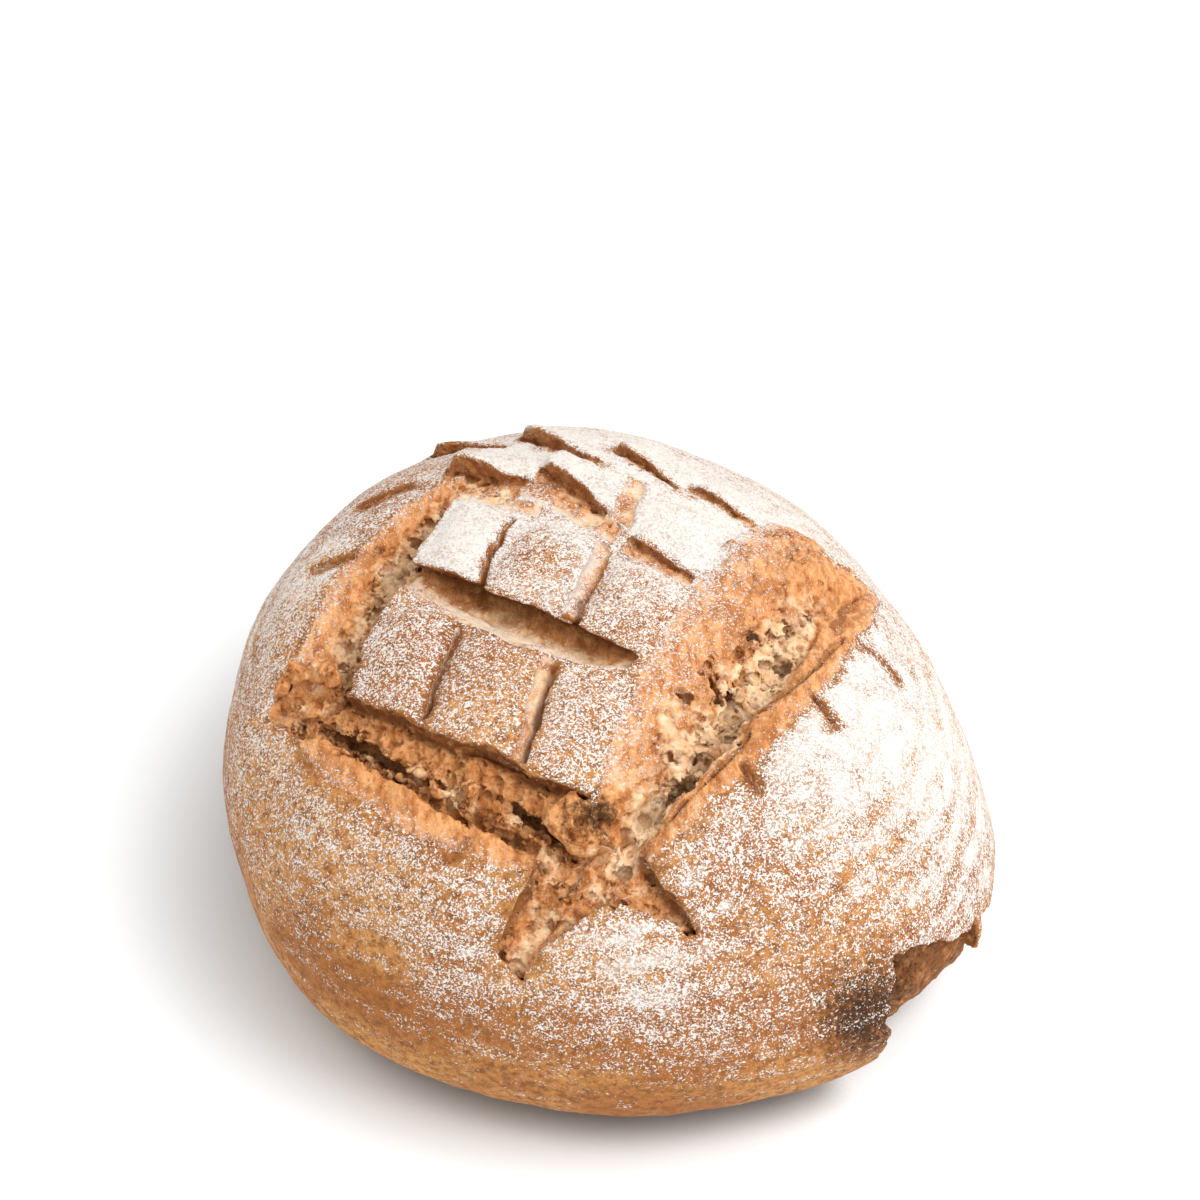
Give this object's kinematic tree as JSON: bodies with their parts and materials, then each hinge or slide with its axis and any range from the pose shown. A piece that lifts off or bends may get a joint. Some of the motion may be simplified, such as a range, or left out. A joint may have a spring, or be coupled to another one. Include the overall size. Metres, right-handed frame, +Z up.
{
  "type": "sourdough loaf",
  "caption": "Round rustic sourdough loaf with a floured crust scored in a lattice, torn open along its outer cuts and burst low on one side",
  "frame": {"origin": "under the middle of the loaf's outline, on the face it rests on", "axes": "+Z up; -Y is the side where the front tear forks; +X runs to the side that burst low down"},
  "size_m": [0.2425, 0.2431, 0.1249],
  "materials": {
    "crust": "baked crust, dry and rough, dusted with flour, with pale open crumb in the tears"
  },
  "bodies": {
    "root": {"loaf": "crust"}
  },
  "joints": []
}
